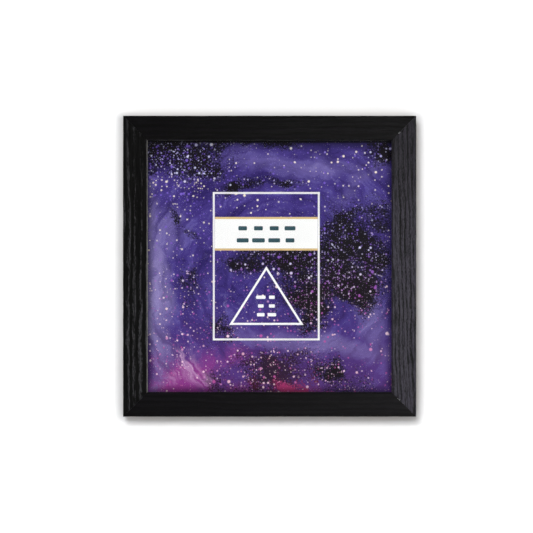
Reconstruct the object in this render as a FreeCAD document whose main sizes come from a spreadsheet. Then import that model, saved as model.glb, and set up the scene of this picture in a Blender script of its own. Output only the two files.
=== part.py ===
import FreeCAD, Part
import os

import Sketcher
from FreeCAD import Placement, Rotation, Vector

# A wall frame for one trading card: four mitred rails with V-nails, a clear glazing sheet, a printed mat
# with a bevelled window, the card in its pocket board, a backboard held by bendable tabs, and a sawtooth
# hanger. The origin is the middle of the underside, X runs to the right seen from the front, the front
# faces -Y and Z is up. Millimetres.

SIZES = {
    # Rails: one flat moulding for all four
    "FrameWidth": 174.0,
    "FrameHeight": 178.6,
    "FrameDepth": 18.0,
    "RailWidth": 14.5,         # outer edge to sight edge
    "LipThickness": 4.0,       # front face to the step that the glazing bears on
    "LipReach": 4.5,           # how far the lip covers the sheets behind it, with their play
    "OuterRound": 0.8,         # eased outer edge of the face
    "BackRound": 0.5,          # eased outer edge of the back
    "SightBevel": 0.7,         # bevel round the sight edge
    # Sheets in the rebate
    "SheetPlay": 0.8,          # free play between the sheets and the rebate walls
    "GlazingThickness": 1.5,
    "MatThickness": 1.15,      # also the width of the window's bevel
    "WindowWidth": 63.7,       # at the printed face
    "WindowHeight": 88.4,
    "WindowShift": 2.0,        # the window's middle lies this far left of the frame's
    "PocketThickness": 0.4,
    "BackboardThickness": 3.0,
    # Card
    "CardWidth": 63.5,
    "CardHeight": 88.9,
    "CardThickness": 0.32,
    "CardCorner": 3.18,
    "CardPlay": 0.25,          # round the card in its pocket
    # Bendable tabs, two a rail
    "TabWidth": 8.0,
    "TabThickness": 0.5,
    "TabReach": 10.5,          # length lying on the backboard
    "TabDriven": 5.5,          # length driven into the rebate wall, with its point
    "TabPoint": 2.6,
    "TabCorner": 1.2,
    "TabSpacing": 92.0,        # between the two tabs of a rail
    # V-nails, one a corner
    "VNailSpread": 7.6,        # across the mitre
    "VNailRise": 3.0,          # of the two arms, along the mitre
    "VNailFlange": 1.2,        # the ends, turned along the mitre
    "VNailThickness": 0.5,
    "VNailLength": 7.0,        # driven in from the back
    "VNailSetback": 7.2,       # of the V's point from both outer faces
    # Sawtooth hanger
    "HangerHeight": 8.0,
    "HangerThickness": 0.8,
    "HangerLift": 1.6,         # gap behind the raised middle
    "HangerFoot": 7.5,         # flat foot at each end
    "HangerDrop": 1.0,         # below the frame's top
    "HangerCorner": 1.6,
    "BendRadius": 0.4,         # inside of the four bends
    "ToothCount": 9,
    "ToothPitch": 3.0,
    "ToothWidth": 2.5,         # mouth of a notch between two teeth
    "ToothDepth": 1.8,
    # Hanger nails
    "NailInset": 3.6,          # from the foot's end
    "NailShank": 1.3,
    "NailPlay": 0.25,          # round the shank in the foot's hole
    "NailLength": 9.5,         # below the head
    "NailPoint": 1.6,
    "NailHead": 3.4,
    "NailRim": 0.25,
    "NailDome": 0.75,
}

# Lengths that follow from the sizes
WALL = "(Sizes.RailWidth - Sizes.LipReach)"
GLAZING_FRONT = "(Sizes.LipThickness - Sizes.FrameDepth / 2)"
MAT_FRONT = "(%s + Sizes.GlazingThickness)" % GLAZING_FRONT
CARD_FRONT = "(%s + Sizes.MatThickness)" % MAT_FRONT
BACKBOARD_FRONT = "(%s + Sizes.PocketThickness)" % CARD_FRONT
TAB_FRONT = "(%s + Sizes.BackboardThickness)" % BACKBOARD_FRONT
SHEET_WIDTH = "(Sizes.FrameWidth - 2 * %s - 2 * Sizes.SheetPlay)" % WALL
SHEET_HEIGHT = "(Sizes.FrameHeight - 2 * %s - 2 * Sizes.SheetPlay)" % WALL
HANGER_RAISED = "(Sizes.ToothCount * Sizes.ToothPitch)"
HANGER_HALF = "(%s / 2 + Sizes.HangerLift + Sizes.HangerFoot)" % HANGER_RAISED
NAIL_ACROSS = "(%s - Sizes.NailInset)" % HANGER_HALF
HEAD_SEAT = "(Sizes.FrameDepth / 2 + Sizes.HangerThickness)"
BEND_SHIFT = 2 ** 0.5 - 1      # how far a 45 degree bend moves per unit of thickness

doc = FreeCAD.newDocument("trading_card_frame")
sheet = doc.addObject("Spreadsheet::Sheet", "Sizes")
for row, (alias, size) in enumerate(SIZES.items(), start=1):
    sheet.set("A%d" % row, alias)
    sheet.set("B%d" % row, str(size))
    sheet.setAlias("B%d" % row, alias)
doc.recompute()


def value(formula):
    """The number that a formula in the sheet's names gives."""
    return float(sheet.evalExpression(formula))


def new_body(label, x="0", y="0", z="0", turn=0.0):
    """A body placed by three formulas and turned about Y by an angle in degrees."""
    body = doc.addObject("PartDesign::Body", label)
    body.Label = label
    body.Placement = Placement(Vector(value(x), value(y), value(z)), Rotation(Vector(0, 1, 0), turn))
    for axis, formula in (("x", x), ("y", y), ("z", z)):
        body.setExpression("Placement.Base." + axis, formula)
    return body


def origin_feature(body, role):
    return next(item for item in body.Origin.OriginFeatures if item.Role == role)


def new_sketch(body, name, role, x="0", y="0", z="0", turn=0.0):
    """A sketch on an origin plane, moved along its own axes by formulas and turned in its plane."""
    sketch = body.newObject("Sketcher::SketchObject", name)
    sketch.AttachmentSupport = [(origin_feature(body, role), "")]
    sketch.MapMode = "FlatFace"
    sketch.AttachmentOffset = Placement(Vector(value(x), value(y), value(z)), Rotation(Vector(0, 0, 1), turn))
    for axis, formula in (("x", x), ("y", y), ("z", z)):
        sketch.setExpression("AttachmentOffset.Base." + axis, formula)
    return sketch


def set_size(sketch, kind, where, formula):
    """One driving dimension, bound to its formula."""
    index = sketch.addConstraint(Sketcher.Constraint(kind, *where, value(formula)))
    sketch.setExpression("Constraints[%d]" % index, formula)


def draw_outline(sketch, corners):
    """A closed outline of straight lines whose corners are pairs of formulas."""
    points = [Vector(value(across), value(up), 0) for across, up in corners]
    count = len(points)
    for i in range(count):
        sketch.addGeometry(Part.LineSegment(points[i], points[(i + 1) % count]), False)
    for i in range(count):
        sketch.addConstraint(Sketcher.Constraint("Coincident", i, 2, (i + 1) % count, 1))
    for i, (across, up) in enumerate(corners):
        set_size(sketch, "DistanceX", (-1, 1, i, 1), across)
        set_size(sketch, "DistanceY", (-1, 1, i, 1), up)


def draw_rectangle(sketch, width, height):
    """A rectangle centred on the sketch's origin."""
    across, up = "(%s) / 2" % width, "(%s) / 2" % height
    draw_outline(sketch, [("-" + across, "-" + up), (across, "-" + up), (across, up), ("-" + across, up)])


def pad(body, name, sketch, length, reverse=False, symmetric=False):
    feature = body.newObject("PartDesign::Pad", name)
    feature.Profile = sketch
    feature.setExpression("Length", length)
    feature.Reversed = reverse
    if symmetric:
        feature.SideType = "Symmetric"
    return feature


def pocket(body, name, sketch, length=None, reverse=False):
    """A pocket of a set depth, or through everything both ways."""
    feature = body.newObject("PartDesign::Pocket", name)
    feature.Profile = sketch
    feature.Reversed = reverse
    if length:
        feature.setExpression("Length", length)
    else:
        feature.Type = "ThroughAll"
        feature.SideType = "Symmetric"
    return feature


def revolve(body, kind, name, sketch):
    """A full turn, or a groove, about the sketch's own upright axis."""
    feature = body.newObject("PartDesign::" + kind, name)
    feature.Profile = sketch
    feature.ReferenceAxis = (sketch, ["V_Axis"])
    feature.Angle = 360
    return feature


def fillet(body, name, base, direction, places, radius):
    """Rounds the base's edges that run along direction through the given places."""
    doc.recompute()
    names = []
    for number, edge in enumerate(base.Shape.Edges, start=1):
        start, end = edge.Vertexes[0].Point, edge.Vertexes[-1].Point
        if (end - start).cross(direction).Length > 1e-6 or (end - start).Length < 1e-6:
            continue
        if any((start - place).cross(direction).Length < 1e-4 for place in places):
            names.append("Edge%d" % number)
    feature = body.newObject("PartDesign::Fillet", name)
    feature.Base = (base, names)
    feature.setExpression("Radius", radius)
    return feature


def draw_tab(sketch):
    """A tab from its square end on the backboard to its point in the rail; the rebate wall is at 0."""
    half = "Sizes.TabWidth / 2"
    shoulder = "Sizes.TabPoint - Sizes.TabDriven"
    draw_outline(sketch, [("-" + half, "Sizes.TabReach"), (half, "Sizes.TabReach"), (half, shoulder),
                          ("0", "-Sizes.TabDriven"), ("-" + half, shoulder)])


def draw_vnail(sketch):
    """The V across a mitre: its point at the origin, its arms and flanges opening upwards."""
    half = "Sizes.VNailSpread / 2"
    inside = "(Sizes.VNailSpread / 2 - Sizes.VNailThickness)"
    slope = "Sizes.VNailRise / (Sizes.VNailSpread / 2)"
    notch = "Sizes.VNailThickness * sqrt(1 + (%s) ^ 2)" % slope
    top = "Sizes.VNailRise + Sizes.VNailFlange"
    elbow = "%s + %s * %s" % (notch, inside, slope)
    right = [(half, "Sizes.VNailRise"), (half, top), (inside, top), (inside, elbow)]
    left = [("-" + across, up) for across, up in reversed(right)]
    draw_outline(sketch, [("0", "0")] + right + [("0", notch)] + left)


def draw_shank(sketch):
    """Half of a nail's shank and point; the head's underside is at 0."""
    radius = "Sizes.NailShank / 2"
    draw_outline(sketch, [("0", "0"), ("0", "-Sizes.NailLength"),
                          (radius, "Sizes.NailPoint - Sizes.NailLength"), (radius, "0")])


def make_rail(label, length, x, z, turn, nailed=False):
    """A rail along its own X, its outer face at Z = 0 and its sight edge above, mitred at both ends."""
    body = new_body(label, x, "0", z, turn)
    front, back = "-Sizes.FrameDepth / 2", "Sizes.FrameDepth / 2"
    profile = new_sketch(body, label + "_profile", "YZ_Plane")
    draw_outline(profile, [
        (front, "0"), (back, "0"), (back, WALL), (GLAZING_FRONT, WALL), (GLAZING_FRONT, "Sizes.RailWidth"),
        (front + " + Sizes.SightBevel", "Sizes.RailWidth"), (front, "Sizes.RailWidth - Sizes.SightBevel")])
    bar = pad(body, label + "_bar", profile, length, symmetric=True)
    outer_front = Vector(0, value(front), 0)
    outer_back = Vector(0, value(back), 0)
    eased = fillet(body, label + "_outer_round", bar, Vector(1, 0, 0), [outer_front], "Sizes.OuterRound")
    fillet(body, label + "_back_round", eased, Vector(1, 0, 0), [outer_back], "Sizes.BackRound")

    # The waste beyond the mitre at the left end, from past the outer corner to past the sight corner
    end = "-%s / 2" % length
    mitre_sketch = new_sketch(body, label + "_mitre_sketch", "XZ_Plane", x=end)
    draw_outline(mitre_sketch, [("-Sizes.RailWidth", "-Sizes.RailWidth"),
                                ("2 * Sizes.RailWidth", "2 * Sizes.RailWidth"),
                                ("-Sizes.RailWidth", "2 * Sizes.RailWidth")])
    cuts = [pocket(body, label + "_mitre", mitre_sketch)]

    # The slots that a V-nail and a tab make as they are driven
    vnail_sketch = new_sketch(body, label + "_vnail_sketch", "XZ_Plane", x=end + " + Sizes.VNailSetback",
                              y="Sizes.VNailSetback", z=front, turn=135)
    draw_vnail(vnail_sketch)
    cuts.append(pocket(body, label + "_vnail_slot", vnail_sketch, "Sizes.VNailLength", reverse=True))
    tab_sketch = new_sketch(body, label + "_tab_sketch", "XZ_Plane", x="-Sizes.TabSpacing / 2", y=WALL,
                            z="-" + TAB_FRONT)
    draw_tab(tab_sketch)
    cuts.append(pocket(body, label + "_tab_slot", tab_sketch, "Sizes.TabThickness"))
    if nailed:
        bore_sketch = new_sketch(body, label + "_bore_sketch", "XY_Plane", x="-" + NAIL_ACROSS, y=HEAD_SEAT,
                                 z="Sizes.HangerDrop + Sizes.HangerHeight / 2")
        draw_shank(bore_sketch)
        cuts.append(revolve(body, "Groove", label + "_nail_bore", bore_sketch))

    both_ends = body.newObject("PartDesign::Mirrored", label + "_both_ends")
    both_ends.Originals = cuts
    both_ends.MirrorPlane = (origin_feature(body, "YZ_Plane"), [""])
    body.Tip = both_ends


def make_vnail(label, x, z, turn):
    body = new_body(label, x, "Sizes.FrameDepth / 2", z, turn)
    sketch = new_sketch(body, label + "_sketch", "XZ_Plane")
    draw_vnail(sketch)
    pad(body, label + "_strip", sketch, "Sizes.VNailLength")


def make_tab(label, x, z, turn):
    body = new_body(label, x, TAB_FRONT, z, turn)
    sketch = new_sketch(body, label + "_sketch", "XZ_Plane")
    draw_tab(sketch)
    plate = pad(body, label + "_plate", sketch, "Sizes.TabThickness", reverse=True)
    half, reach = value("Sizes.TabWidth / 2"), value("Sizes.TabReach")
    corners = [Vector(-half, 0, reach), Vector(half, 0, reach)]
    fillet(body, label + "_corners", plate, Vector(0, 1, 0), corners, "Sizes.TabCorner")


def make_sheet(label, front, thickness, width=SHEET_WIDTH, height=SHEET_HEIGHT, shift="0"):
    """A flat sheet at mid height, its front face at the given depth."""
    body = new_body(label, shift, front, "Sizes.FrameHeight / 2")
    sketch = new_sketch(body, label + "_sketch", "XZ_Plane")
    draw_rectangle(sketch, width, height)
    pad(body, label + "_sheet", sketch, thickness, reverse=True)
    return body


def make_mat():
    """The mat, with a window that narrows by the board's thickness from its face to its back."""
    body = make_sheet("mat_board", MAT_FRONT, "Sizes.MatThickness")
    face = new_sketch(body, "window_face", "XZ_Plane", x="-Sizes.WindowShift")
    draw_rectangle(face, "Sizes.WindowWidth", "Sizes.WindowHeight")
    back = new_sketch(body, "window_back", "XZ_Plane", x="-Sizes.WindowShift", z="-Sizes.MatThickness")
    draw_rectangle(back, "Sizes.WindowWidth - 2 * Sizes.MatThickness",
                   "Sizes.WindowHeight - 2 * Sizes.MatThickness")
    window = body.newObject("PartDesign::SubtractiveLoft", "window")
    window.Profile = face
    window.Sections = [back]
    window.Ruled = True


def round_corners(body, base, width, height, shift, radius):
    """Rounds the four corners of a rectangular outline or cut-out."""
    across, up = value(width) / 2, value(height) / 2
    corners = [Vector(value(shift) + i * across, 0, j * up) for i in (-1, 1) for j in (-1, 1)]
    fillet(body, base.Name + "_corners", base, Vector(0, 1, 0), corners, radius)


def make_card():
    body = make_sheet("placeholder_card", CARD_FRONT, "Sizes.CardThickness", "Sizes.CardWidth",
                      "Sizes.CardHeight", "-Sizes.WindowShift")
    round_corners(body, body.Tip, "Sizes.CardWidth", "Sizes.CardHeight", "0", "Sizes.CardCorner")


def make_pocket_board():
    """The thin board behind the mat, cut out round the card."""
    body = make_sheet("pocket_board", CARD_FRONT, "Sizes.PocketThickness")
    width, height = "Sizes.CardWidth + 2 * Sizes.CardPlay", "Sizes.CardHeight + 2 * Sizes.CardPlay"
    sketch = new_sketch(body, "pocket_sketch", "XZ_Plane", x="-Sizes.WindowShift")
    draw_rectangle(sketch, width, height)
    opening = pocket(body, "card_opening", sketch)
    round_corners(body, opening, width, height, "-Sizes.WindowShift", "Sizes.CardCorner + Sizes.CardPlay")


def make_hanger():
    """A stamped strip with flat feet, a raised middle and teeth along its lower edge."""
    body = new_body("sawtooth_hanger", "0", "Sizes.FrameDepth / 2",
                    "Sizes.FrameHeight - Sizes.HangerDrop - Sizes.HangerHeight")
    raised, lift, thick = HANGER_RAISED + " / 2", "Sizes.HangerLift", "Sizes.HangerThickness"
    foot = "%s + %s" % (raised, lift)
    shift = "%r * %s" % (BEND_SHIFT, thick)
    inner = [(HANGER_HALF, "0"), (foot, "0"), (raised, lift)]
    outer = [(raised + " + " + shift, lift + " + " + thick), (foot + " + " + shift, thick), (HANGER_HALF, thick)]
    mirrored_inner = [("-(%s)" % across, up) for across, up in inner]
    mirrored_outer = [("-(%s)" % across, up) for across, up in outer]
    profile = new_sketch(body, "hanger_profile", "XY_Plane")
    draw_outline(profile, mirrored_inner + inner[::-1] + outer[::-1] + mirrored_outer)
    strip = pad(body, "hanger_strip", profile, "Sizes.HangerHeight")

    def bends(pairs):
        return [Vector(side * value(across), value(up), 0) for side in (-1, 1) for across, up in pairs]

    inside = fillet(body, "hanger_inside_bends", strip, Vector(0, 0, 1), bends([inner[2], outer[1]]),
                    "Sizes.BendRadius")
    outside = fillet(body, "hanger_outside_bends", inside, Vector(0, 0, 1), bends([inner[1], outer[0]]),
                     "Sizes.BendRadius + Sizes.HangerThickness")
    ends = [Vector(side * value(HANGER_HALF), 0, up) for side in (-1, 1)
            for up in (0, value("Sizes.HangerHeight"))]
    fillet(body, "hanger_corners", outside, Vector(0, 1, 0), ends, "Sizes.HangerCorner")

    holes = new_sketch(body, "hanger_hole_sketch", "XZ_Plane", y="Sizes.HangerHeight / 2")
    for number, side in enumerate(("-", "")):
        centre = side + NAIL_ACROSS
        holes.addGeometry(Part.Circle(Vector(value(centre), 0, 0), Vector(0, 0, 1), 1), False)
        set_size(holes, "DistanceX", (-1, 1, number, 3), centre)
        holes.addConstraint(Sketcher.Constraint("PointOnObject", number, 3, -1))
        set_size(holes, "Radius", (number,), "Sizes.NailShank / 2 + Sizes.NailPlay")
    pocket(body, "hanger_holes", holes)

    first = "(1 - Sizes.ToothCount) / 2 * Sizes.ToothPitch"
    notch_sketch = new_sketch(body, "notch_sketch", "XZ_Plane", x=first)
    draw_outline(notch_sketch, [("-Sizes.ToothWidth / 2", "0"), ("Sizes.ToothWidth / 2", "0"),
                                ("0", "Sizes.ToothDepth")])
    notch = pocket(body, "notch", notch_sketch)
    teeth = body.newObject("PartDesign::LinearPattern", "teeth")
    teeth.Originals = [notch]
    teeth.Direction = (origin_feature(body, "X_Axis"), [""])
    teeth.Mode = "Spacing"
    teeth.setExpression("Offset", "Sizes.ToothPitch")
    teeth.setExpression("Occurrences", "Sizes.ToothCount")
    body.Tip = teeth


def make_nail(label, x):
    """A hanger nail with a domed head, which seats on the hanger's foot."""
    body = new_body(label, x, HEAD_SEAT, "Sizes.FrameHeight - Sizes.HangerDrop - Sizes.HangerHeight / 2")
    shank_sketch = new_sketch(body, label + "_shank_sketch", "XY_Plane")
    draw_shank(shank_sketch)
    revolve(body, "Revolution", label + "_shank", shank_sketch)

    head = new_sketch(body, label + "_head_sketch", "XY_Plane")
    radius, rim, dome = value("Sizes.NailHead / 2"), value("Sizes.NailRim"), value("Sizes.NailDome")
    middle = (dome ** 2 - rim ** 2 - radius ** 2) / (2 * (dome - rim))
    across = Vector(radius / 2, middle + ((dome - middle) ** 2 - (radius / 2) ** 2) ** 0.5, 0)
    head.addGeometry(Part.LineSegment(Vector(0, dome, 0), Vector(0, 0, 0)), False)
    head.addGeometry(Part.LineSegment(Vector(0, 0, 0), Vector(radius, 0, 0)), False)
    head.addGeometry(Part.LineSegment(Vector(radius, 0, 0), Vector(radius, rim, 0)), False)
    head.addGeometry(Part.Arc(Vector(radius, rim, 0), across, Vector(0, dome, 0)), False)
    for first, last, second, start in ((0, 2, 1, 1), (1, 2, 2, 1), (2, 2, 3, 1), (3, 2, 0, 1)):
        head.addConstraint(Sketcher.Constraint("Coincident", first, last, second, start))
    head.addConstraint(Sketcher.Constraint("Coincident", 0, 2, -1, 1))
    head.addConstraint(Sketcher.Constraint("Vertical", 0))
    head.addConstraint(Sketcher.Constraint("Horizontal", 1))
    head.addConstraint(Sketcher.Constraint("Vertical", 2))
    head.addConstraint(Sketcher.Constraint("PointOnObject", 3, 3, -2))
    set_size(head, "DistanceX", (-1, 1, 1, 2), "Sizes.NailHead / 2")
    set_size(head, "DistanceY", (-1, 1, 2, 2), "Sizes.NailRim")
    set_size(head, "DistanceY", (-1, 1, 0, 1), "Sizes.NailDome")
    revolve(body, "Revolution", label + "_head", head)


# The four sides: the rail's length, its middle, its turn, and how to go along it and in from its edge
WIDE, TALL = "Sizes.FrameWidth", "Sizes.FrameHeight"
SIDES = {
    "bottom": (WIDE, "0", "0", 0, lambda along, inward: (along, inward)),
    "left": (TALL, "-%s / 2" % WIDE, "%s / 2" % TALL, 90,
             lambda along, inward: ("%s - %s / 2" % (inward, WIDE), "%s / 2 - (%s)" % (TALL, along))),
    "top": (WIDE, "0", TALL, 180, lambda along, inward: ("-(%s)" % along, "%s - %s" % (TALL, inward))),
    "right": (TALL, "%s / 2" % WIDE, "%s / 2" % TALL, 270,
              lambda along, inward: ("%s / 2 - %s" % (WIDE, inward), "%s / 2 + (%s)" % (TALL, along))),
}
for side, (length, x, z, turn, place) in SIDES.items():
    make_rail("rail_" + side, length, x, z, turn, nailed=side == "top")
    for number, along in enumerate(("-Sizes.TabSpacing / 2", "Sizes.TabSpacing / 2"), start=1):
        make_tab("tab_%s_%d" % (side, number), *place(along, WALL), turn)

LEFT, RIGHT = "Sizes.VNailSetback - %s / 2" % WIDE, "%s / 2 - Sizes.VNailSetback" % WIDE
LOW, HIGH = "Sizes.VNailSetback", "%s - Sizes.VNailSetback" % TALL
make_vnail("vnail_bottom_left", LEFT, LOW, 225)
make_vnail("vnail_bottom_right", RIGHT, LOW, 135)
make_vnail("vnail_top_left", LEFT, HIGH, 315)
make_vnail("vnail_top_right", RIGHT, HIGH, 45)

make_sheet("glazing", GLAZING_FRONT, "Sizes.GlazingThickness")
make_mat()
make_card()
make_pocket_board()
make_sheet("backboard", BACKBOARD_FRONT, "Sizes.BackboardThickness")
make_hanger()
make_nail("hanger_nail_left", "-" + NAIL_ACROSS)
make_nail("hanger_nail_right", NAIL_ACROSS)

doc.recompute()

# Every object is sound, and every cut, round and pattern has changed the solid it works on
for item in doc.Objects:
    if "Invalid" in item.State or "Error" in item.State:
        raise RuntimeError("%s failed: %s" % (item.Name, item.State))
    if item.isDerivedFrom("Sketcher::SketchObject") and item.solve() != 0:
        raise RuntimeError("%s does not solve" % item.Name)
    base = getattr(item, "BaseFeature", None)
    if base and abs(item.Shape.Volume - base.Shape.Volume) < 1e-6:
        raise RuntimeError("%s changes nothing" % item.Name)

bodies = [item for item in doc.Objects if item.isDerivedFrom("PartDesign::Body")]
for body in bodies:
    shape = body.Shape
    if shape.isNull() or not shape.isValid() or len(shape.Solids) != 1:
        raise RuntimeError("%s is not one sound solid" % body.Label)

os.makedirs("parts", exist_ok=True)
for body in bodies:
    body.Shape.exportStep("parts/%s.step" % body.Label)
    box = body.Shape.BoundBox
    print("%-20s %10.2f mm3  x %7.2f %7.2f  y %6.2f %6.2f  z %7.2f %7.2f" % (
        body.Label, body.Shape.Volume, box.XMin, box.XMax, box.YMin, box.YMax, box.ZMin, box.ZMax))
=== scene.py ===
import math
import bmesh
import bpy
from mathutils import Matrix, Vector


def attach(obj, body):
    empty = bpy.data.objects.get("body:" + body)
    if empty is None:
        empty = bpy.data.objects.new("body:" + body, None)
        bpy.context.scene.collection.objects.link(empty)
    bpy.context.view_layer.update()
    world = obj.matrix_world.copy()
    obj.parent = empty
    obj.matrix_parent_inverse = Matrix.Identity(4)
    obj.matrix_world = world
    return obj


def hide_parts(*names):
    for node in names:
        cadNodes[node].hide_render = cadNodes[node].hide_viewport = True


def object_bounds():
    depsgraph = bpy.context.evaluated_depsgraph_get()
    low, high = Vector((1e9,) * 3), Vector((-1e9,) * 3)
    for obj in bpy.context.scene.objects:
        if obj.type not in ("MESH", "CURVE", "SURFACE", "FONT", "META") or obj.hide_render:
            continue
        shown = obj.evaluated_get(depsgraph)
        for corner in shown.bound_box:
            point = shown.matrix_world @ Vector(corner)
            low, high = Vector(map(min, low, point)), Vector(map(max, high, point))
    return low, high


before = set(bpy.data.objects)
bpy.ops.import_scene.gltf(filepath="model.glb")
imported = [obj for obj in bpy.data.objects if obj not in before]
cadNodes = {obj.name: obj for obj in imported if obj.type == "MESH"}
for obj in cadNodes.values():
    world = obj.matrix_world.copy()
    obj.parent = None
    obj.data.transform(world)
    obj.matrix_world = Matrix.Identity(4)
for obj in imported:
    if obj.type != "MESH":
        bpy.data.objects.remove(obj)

# A black open-grained frame on a white wall, with a printed mat and a card window.
# Lengths in the dictionaries are millimetres. The front looks along -Y, Z is up.
mm = 0.001
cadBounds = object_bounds()
scene = bpy.context.scene
white = (1.0, 1.0, 1.0, 1.0)


# Small helpers for node trees

def plug(tree, socket, value):
    if isinstance(value, bpy.types.NodeSocket):
        tree.links.new(value, socket)
    else:
        socket.default_value = value


def place(tree, kind, plugs=None, **settings):
    node = tree.nodes.new(kind)
    for name, value in settings.items():
        setattr(node, name, value)
    for name, value in (plugs or {}).items():
        plug(tree, node.inputs[name], value)
    return node


def outOf(tree, kind, plugs=None, **settings):
    return place(tree, kind, plugs, **settings).outputs[0]


def reckon(tree, operation, *values):
    return outOf(tree, "ShaderNodeMath", dict(enumerate(values)), operation=operation)


def plus(tree, one, other):
    return reckon(tree, "ADD", one, other)


def minus(tree, one, other):
    return reckon(tree, "SUBTRACT", one, other)


def times(tree, one, other):
    return reckon(tree, "MULTIPLY", one, other)


def timesPlus(tree, one, factor, added):
    return reckon(tree, "MULTIPLY_ADD", one, factor, added)


def over(tree, one, other):
    return reckon(tree, "DIVIDE", one, other)


def larger(tree, one, other):
    return reckon(tree, "MAXIMUM", one, other)


def reckonVector(tree, operation, *values):
    node = place(tree, "ShaderNodeVectorMath", dict(enumerate(values)), operation=operation)
    return node.outputs["Value" if operation in ("LENGTH", "DOT_PRODUCT") else "Vector"]


def shifted(tree, vector, way):
    return reckonVector(tree, "ADD", vector, way)


def stretched(tree, vector, factors):
    return reckonVector(tree, "MULTIPLY", vector, factors)


def scaled(tree, vector, amount):
    return outOf(tree, "ShaderNodeVectorMath", {0: vector, "Scale": amount}, operation="SCALE")


def rotated(tree, vector, angle, axis=(0.0, 1.0, 0.0)):
    return outOf(tree, "ShaderNodeVectorRotate", {"Vector": vector, "Angle": angle, "Axis": axis})


def split(tree, vector):
    return place(tree, "ShaderNodeSeparateXYZ", {"Vector": vector}).outputs


def join(tree, x=0.0, y=0.0, z=0.0):
    return outOf(tree, "ShaderNodeCombineXYZ", {"X": x, "Y": y, "Z": z})


def ease(tree, value, low, high, bottom=0.0, top=1.0):
    return place(tree, "ShaderNodeMapRange", {
        "Value": value, "From Min": low, "From Max": high, "To Min": bottom, "To Max": top,
    }, interpolation_type="SMOOTHSTEP").outputs["Result"]


def blend(tree, share, first, second):
    return outOf(tree, "ShaderNodeMix", {0: share, 2: first, 3: second}, data_type="FLOAT")


def tintMix(tree, share, first, second, mode="MIX"):
    plugs = {0: share, 6: first, 7: second}
    return place(tree, "ShaderNodeMix", plugs, data_type="RGBA", blend_type=mode).outputs[2]


def mixShader(tree, share, first, second):
    return outOf(tree, "ShaderNodeMixShader", {0: share, 1: first, 2: second})


def noise(tree, vector, scale, detail=2.0, roughness=0.5, output="Fac"):
    return place(tree, "ShaderNodeTexNoise", {
        "Vector": vector, "Scale": scale, "Detail": detail, "Roughness": roughness,
    }).outputs[output]


def tint(code):
    levels = [int(code[i:i + 2], 16) / 255 for i in (0, 2, 4)]
    return tuple(v / 12.92 if v <= 0.04045 else ((v + 0.055) / 1.055) ** 2.4 for v in levels) + (1.0,)


def newGroup(name, inputs, outputs, kind="ShaderNodeTree"):
    tree = bpy.data.node_groups.new(name, kind)
    for label, (socketKind, value) in inputs.items():
        socket = tree.interface.new_socket(label, in_out="INPUT", socket_type="NodeSocket" + socketKind)
        if value is not None:
            socket.default_value = value
    for label, socketKind in outputs.items():
        tree.interface.new_socket(label, in_out="OUTPUT", socket_type="NodeSocket" + socketKind)
    return tree, tree.nodes.new("NodeGroupInput").outputs, tree.nodes.new("NodeGroupOutput").inputs


def placeGroup(tree, group, plugs):
    kind = "ShaderNodeGroup" if tree.bl_idname == "ShaderNodeTree" else "GeometryNodeGroup"
    node = place(tree, kind, node_tree=group)
    for name, value in plugs.items():
        plug(tree, node.inputs[name], value)
    return node.outputs


def newMaterial(name, sockets):
    # patterns read the Object coordinates in millimetres
    material = bpy.data.materials.new(name)
    material.use_nodes = True
    tree = material.node_tree
    shader = tree.nodes["Principled BSDF"]
    for label, value in sockets.items():
        shader.inputs[label].default_value = value
    where = tree.nodes.new("ShaderNodeTexCoord").outputs["Object"]
    return material, tree, shader, scaled(tree, where, 1 / mm)


def finishShader(tree, shader, color, roughness, height, depth, strength=1.0):
    bump = outOf(tree, "ShaderNodeBump", {"Height": height, "Distance": depth * mm, "Strength": strength})
    for label, value in (("Base Color", color), ("Roughness", roughness), ("Normal", bump)):
        plug(tree, shader.inputs[label], value)


def dress(material, *names):
    for name in names:
        slots = cadNodes[name].data.materials
        slots.clear()
        slots.append(material)


def makeMeshPiece(name, mesh, material, slot, *replaced):
    piece = bpy.data.objects.new(name, mesh)
    mesh.materials.clear()
    mesh.materials.append(material)
    scene.collection.objects.link(piece)
    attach(piece, "root")
    if replaced:
        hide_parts(*replaced)
    return piece


def closedMesh(name, shape):
    bmesh.ops.recalc_face_normals(shape, faces=shape.faces)
    mesh = bpy.data.meshes.new(name)
    shape.to_mesh(mesh)
    shape.free()
    return mesh


def runTree(name, tree, values, drawn=None):
    # evaluates a Geometry Nodes tree on a drawn curve or on an empty mesh, and gives back a plain mesh
    holder = bpy.data.objects.new(name + "_maker", drawn or bpy.data.meshes.new(name + "_maker"))
    scene.collection.objects.link(holder)
    modifier = holder.modifiers.new("maker", "NODES")
    modifier.node_group = tree
    for item in tree.interface.items_tree:
        if item.item_type == "SOCKET" and item.in_out == "INPUT" and item.name in values:
            modifier[item.identifier] = values[item.name]
    bpy.context.view_layer.update()
    mesh = bpy.data.meshes.new_from_object(holder.evaluated_get(bpy.context.evaluated_depsgraph_get()))
    mesh.name = name
    bpy.data.objects.remove(holder)
    return mesh


# Camera: straight at the front, with a long lens

photoView = {"lens": 135.22, "sensor": 36.0, "at": (-1.86, -1196.0, 89.12), "clipStart": 10.0}

cameraData = bpy.data.cameras.new("camera")
cameraData.lens = photoView["lens"]
cameraData.sensor_width = photoView["sensor"]
cameraData.clip_start = photoView["clipStart"] * mm
camera = bpy.data.objects.new("camera", cameraData)
camera.location = [v * mm for v in photoView["at"]]
camera.rotation_euler = (math.radians(90), 0, 0)
scene.collection.objects.link(camera)
scene.camera = camera
print("camera placed")


# Wall and floor

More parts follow.
